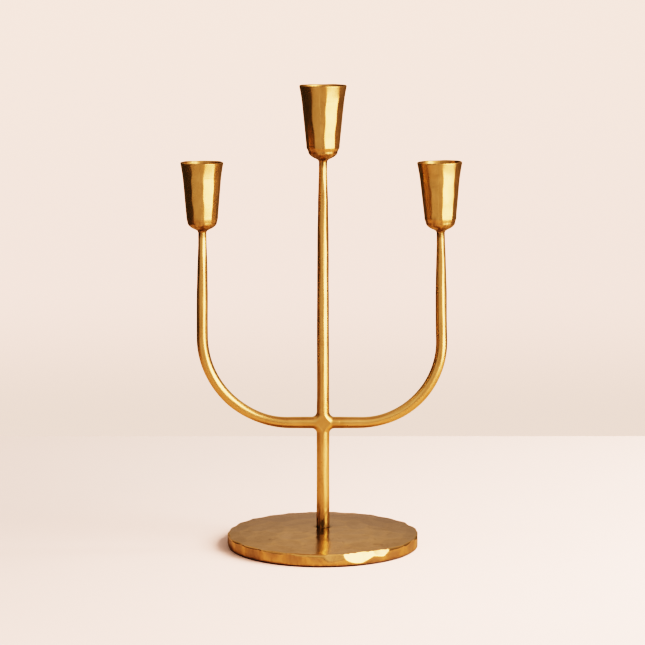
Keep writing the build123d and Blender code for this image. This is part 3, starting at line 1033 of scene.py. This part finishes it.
def base_piece():
    """The foot: hammered top and rim, spot-face for the stem, and counterbore below."""
    bottom = BASE_LOW[2]
    top = BASE_HIGH[2]
    angles = np.arange(BASE_COLUMNS) * 2 * np.pi / BASE_COLUMNS
    # rows of the rim lie closest together at its middle height
    even = np.linspace(-1, 1, BASE_RIM_ROWS)
    turns = np.radians(90) * (0.62 * even + 0.38 * even**3)
    turn, angle = np.meshgrid(turns, angles, indexing="ij")
    rim, rim_ridge, rim_patina_and_shade = base_rim(angle, turn, bottom)
    rim_reach = ANCHOR_RADIUS + rim * np.cos(turn)
    rows = list(zip(rim_reach, ANCHOR_Z + rim * np.sin(turn), rim_ridge))
    count = int((ANCHOR_RADIUS - SPOT_RADIUS) / BASE_TOP_STEP)
    for reach in np.linspace(ANCHOR_RADIUS, SPOT_RADIUS + 0.3, count)[1:]:
        level, ridge = base_top(reach * np.sin(angles), -reach * np.cos(angles))
        rows.append((reach, level, TOP_POLISH * ridge))
    counterbore_top = bottom + COUNTERBORE_DEPTH
    for reach, level in (
        (SPOT_RADIUS + 0.08, top - 0.08),
        (SPOT_RADIUS, top - 0.3),
        (SPOT_RADIUS, FOOT_Z),
        (BOLT_HOLE, FOOT_Z - 0.01),
        (BOLT_HOLE, counterbore_top),
        (COUNTERBORE - 0.3, counterbore_top),
        (COUNTERBORE, counterbore_top - 0.3),
        (COUNTERBORE, bottom + 0.3),
        (COUNTERBORE + 0.3, bottom),
        (COUNTERBORE + 6, bottom),
        (ANCHOR_RADIUS * 0.6, bottom),
    ):
        rows.append((reach, level, 0.0))
    reach, level, ridge = stacked(rows, BASE_COLUMNS)
    points = round_points(reach, angles, level).reshape(-1, 3)
    faces = grid_faces(len(rows), BASE_COLUMNS, True)
    # Painted shade round the stem's foot, at the joint, and along the foot's low edge by the
    # table
    shade_round_stem = 1 - smooth_step(reach, SPOT_RADIUS + 0.4, SPOT_RADIUS + 3.0)
    shade_low_edge = 0.5 * (1 - smooth_step(level, bottom + 0.5, bottom + 2.5))
    grime_and_shade = np.maximum(shade_round_stem, shade_low_edge)
    grime_and_shade[:BASE_RIM_ROWS] = np.maximum(grime_and_shade[:BASE_RIM_ROWS], rim_patina_and_shade)
    return new_piece("base_disc", points, faces, base_brass, ridge, grime_and_shade)


def felt_piece():
    """The felt pad: a soft-edged ring with a faintly uneven cut and pile."""
    columns = 360
    random = np.random.default_rng(3)
    angles = np.arange(columns) * 2 * np.pi / columns
    waver = sum(
        random.uniform(0.03, 0.10) * np.sin(k * angles + random.uniform(0, 2 * np.pi))
        for k in (2, 3, 5, 9, 14)
    )
    outer = FELT_HIGH[0]
    inner = FELT_HOLE
    thick = FELT_HIGH[2] - FELT_LOW[2]
    section = [
        (inner, 0.25),
        (inner, thick - 0.2),
        (inner + 0.2, thick),
        (outer * 0.5, thick),
        (outer - 0.2, thick),
        (outer, thick - 0.2),
        (outer + 0.05, thick * 0.5),
        (outer, 0.25),
        (outer - 0.12, 0.08),
        (outer - 0.3, 0.0),
    ]
    section += [(reach, 0.0) for reach in np.linspace(outer - 3, inner + 3, 20)]
    section += [(inner + 0.3, 0.0), (inner + 0.12, 0.08)]
    reach, level = stacked(section, columns)
    points = round_points(reach + waver, angles, level + FELT_LOW[2])
    faces = grid_faces(len(section), columns, True)[:, ::-1]
    return new_piece("base_felt", points.reshape(-1, 3), faces, black_felt)


# ---------------------------------------------------------------- build the object

arms = {side: Arm(side) for side in ("left", "right")}
upright_rod("lower_stem", FOOT_Z, HUB_Z - HUB_REACH)
upright_rod("centre_stem", HUB_Z + HUB_REACH, STEM_TIP_Z)
for arm in arms.values():
    arm_rod(arm)
hub_piece(arms)
for side in ("left", "centre", "right"):
    cup_piece(side)
base_piece()
felt_piece()


def finish_cad_node(name, material):
    """Gives a CAD node, whose shape is already right, a better material."""
    node = frame["nodes"][name]
    node.data.materials.clear()
    node.data.materials.append(material)


for name in ("base_screw", "base_washer", "base_lock_washer"):
    finish_cad_node(name, zinc_steel)
for side in ("left", "centre", "right"):
    finish_cad_node(side + "_cup_screw", screw_brass)

# ---------------------------------------------------------------- floor, light and camera

scene = bpy.context.scene


def floor_material():
    """Pale plaster: nearly plain, with a faint mottle, and painted shade towards the back and the
    left. It looks lighter than it reflects.
    """
    n = Nodes(bpy.data.materials.new("pale_floor"))
    mottle = n.noise(3.0, 5.0, 0.55)
    plaster = n.ramp(mottle, [(0.3, (0.92, 0.82, 0.82)), (0.7, (0.97, 0.87, 0.88))])
    # Painted shade: the plaster darkens towards the back and the left, away from the lights
    split = n.add("ShaderNodeSeparateXYZ")
    n.link(n.place, split.inputs["Vector"])
    back = n.math("MULTIPLY", split.outputs["Y"], 1.2)
    left = n.math("MULTIPLY", split.outputs["X"], -1.8)
    shade = n.range(n.math("ADD", back, left), -0.4, 0.6, 0.0, 1.0)
    plaster = n.mix(shade, plaster, (0.70, 0.74, 0.77))
    seen = n.add("ShaderNodeLightPath").outputs["Is Camera Ray"]
    n.link(n.mix(seen, (0.34, 0.275, 0.215), plaster), n.shader.inputs["Base Color"])
    n.shader.inputs["Roughness"].default_value = 0.8
    n.shader.inputs["Specular IOR Level"].default_value = 0.1
    n.link(n.bump(n.noise(900.0, 3.0, 0.6), 0.0002, 0.2), n.shader.inputs["Normal"])
    return n.owner


def floor_slab(back, front, half_width, thickness):
    """The pale table top. Its back edge is the line behind the object."""
    corners = [
        (x, y, z)
        for z in (-thickness, 0.0)
        for y in (-front, back)
        for x in (-half_width, half_width)
    ]
    faces = [(2, 3, 1, 0), (4, 5, 7, 6), (0, 1, 5, 4), (1, 3, 7, 5), (3, 2, 6, 7), (2, 0, 4, 6)]
    mesh = bpy.data.meshes.new("floor")
    mesh.from_pydata(corners, [], faces)
    mesh.materials.append(floor_material())
    slab = bpy.data.objects.new("floor", mesh)
    scene.collection.objects.link(slab)


floor_slab(back=0.457, front=0.42, half_width=0.55, thickness=0.03)

# Every light is warm, which is what turns plain brass this golden
WARM_LIGHT = (1.0, 0.62, 0.50)
# Height of the point that the lights face
LIGHT_AIM_Z = 0.18


def warmed(tone):
    """A tone of light, made as warm as the room's."""
    return tuple(part * warm for part, warm in zip(tone, WARM_LIGHT))


def area_light(name, azimuth, elevation, distance, width, height, power, colour):
    """A soft rectangular light facing the object. Azimuth 0 is the front, positive is right."""
    light = bpy.data.lights.new(name, "AREA")
    light.shape = "RECTANGLE"
    light.size = width
    light.size_y = height
    light.energy = power
    light.color = warmed(colour)
    holder = bpy.data.objects.new(name, light)
    scene.collection.objects.link(holder)
    turn, rise = math.radians(azimuth), math.radians(elevation)
    holder.location = (
        distance * math.sin(turn) * math.cos(rise),
        -distance * math.cos(turn) * math.cos(rise),
        LIGHT_AIM_Z + distance * math.sin(rise),
    )
    holder.rotation_euler = (math.pi / 2 - rise, 0, turn)
    holder.visible_camera = False
    return holder


area_light("key", 50, 12, 4.0, 3.4, 5.6, 345.0, (1.0, 0.88, 0.79))
# This one brightens the table, and the brass doesn't mirror it
table_light = area_light("table_light", 76, 30, 1.6, 1.3, 1.0, 100.0, (1.0, 0.95, 0.92))
table_light.visible_glossy = False

# Tone of the room round the object by azimuth, in degrees from the front to the right
ROOM_TONES = (
    (-180, (0.66, 0.66, 0.63)),
    (-166, (0.34, 0.36, 0.33)),
    (-148, (0.12, 0.15, 0.11)),
    (-108, (0.08, 0.105, 0.07)),
    (-72, (0.09, 0.12, 0.08)),
    (-50, (0.55, 0.62, 0.56)),
    (-26, (0.92, 0.94, 0.90)),
    (-10, (0.60, 0.64, 0.58)),
    (8, (0.60, 0.64, 0.58)),
    (22, (1.15, 1.05, 1.0)),
    (76, (1.1, 1.0, 0.95)),
    (92, (0.24, 0.28, 0.26)),
    (150, (0.24, 0.27, 0.25)),
    (166, (0.40, 0.42, 0.39)),
    (180, (0.66, 0.66, 0.63)),
)
# Sine of the elevations between which the walls give way to an even ceiling, and how far
CEILING_FROM = 0.35
CEILING_TO = 0.75
CEILING_SHARE = 0.8
CEILING_TONE = (0.9, 0.88, 0.84)
# How the room's tone changes with elevation, in degrees
SKY_TONES = (
    (-90, (0.5, 0.47, 0.44)),
    (-16, (0.85, 0.83, 0.81)),
    (2, (0.66, 0.66, 0.66)),
    (22, (1.2, 1.2, 1.2)),
    (50, (0.9, 0.88, 0.86)),
    (68, (0.55, 0.53, 0.50)),
    (90, (0.40, 0.38, 0.36)),
)
# The plain backdrop that the camera sees, from the floor's back edge up
BACKDROP = ((0.409, (1.32, 0.83, 0.64)), (0.436, (2.0, 1.08, 0.84)), (0.5, (2.25, 1.18, 0.88)))


def sky():
    """Pale plain backdrop for the camera, and a soft room for light and reflections."""
    scene.world = bpy.data.worlds.new("room")
    n = Nodes(scene.world, "Background", "Generated")
    parts = n.add("ShaderNodeSeparateXYZ")
    n.link(n.place, parts.inputs["Vector"])
    front = n.math("MULTIPLY", parts.outputs["Y"], -1.0)
    azimuth = n.math("ARCTAN2", parts.outputs["X"], front)
    around = n.range(azimuth, -math.pi, math.pi, 0.0, 1.0)
    up = n.range(parts.outputs["Z"], -1.0, 1.0, 0.0, 1.0)
    tones = [(place / 360 + 0.5, tone) for place, tone in ROOM_TONES]
    walls = n.ramp(around, tones, "EASE")
    open_top = n.range(parts.outputs["Z"], CEILING_FROM, CEILING_TO, 0.0, CEILING_SHARE)
    room = n.mix(open_top, walls, CEILING_TONE)
    tones = [
        (0.5 + 0.5 * math.sin(math.radians(place)), warmed(tone)) for place, tone in SKY_TONES
    ]
    room = n.mix(1.0, room, n.ramp(up, tones, "EASE"), "MULTIPLY")
    seen = n.add("ShaderNodeLightPath").outputs["Is Camera Ray"]
    light = n.mix(seen, room, n.ramp(up, BACKDROP, "EASE"))
    n.link(light, n.shader.inputs["Color"])


sky()

CAMERA_PLACE = (-0.0004, -1.9206, 0.4592)
CAMERA_DIP = math.radians(8.29)
camera_data = bpy.data.cameras.new("camera")
camera_data.sensor_width = 36.0
camera_data.lens = 137.5
camera_data.clip_end = 20.0
camera = bpy.data.objects.new("camera", camera_data)
camera.location = CAMERA_PLACE
camera.rotation_euler = (math.pi / 2 - CAMERA_DIP, 0, 0)
scene.collection.objects.link(camera)
scene.camera = camera

scene.view_settings.view_transform = "Filmic"
scene.view_settings.look = "Very High Contrast"
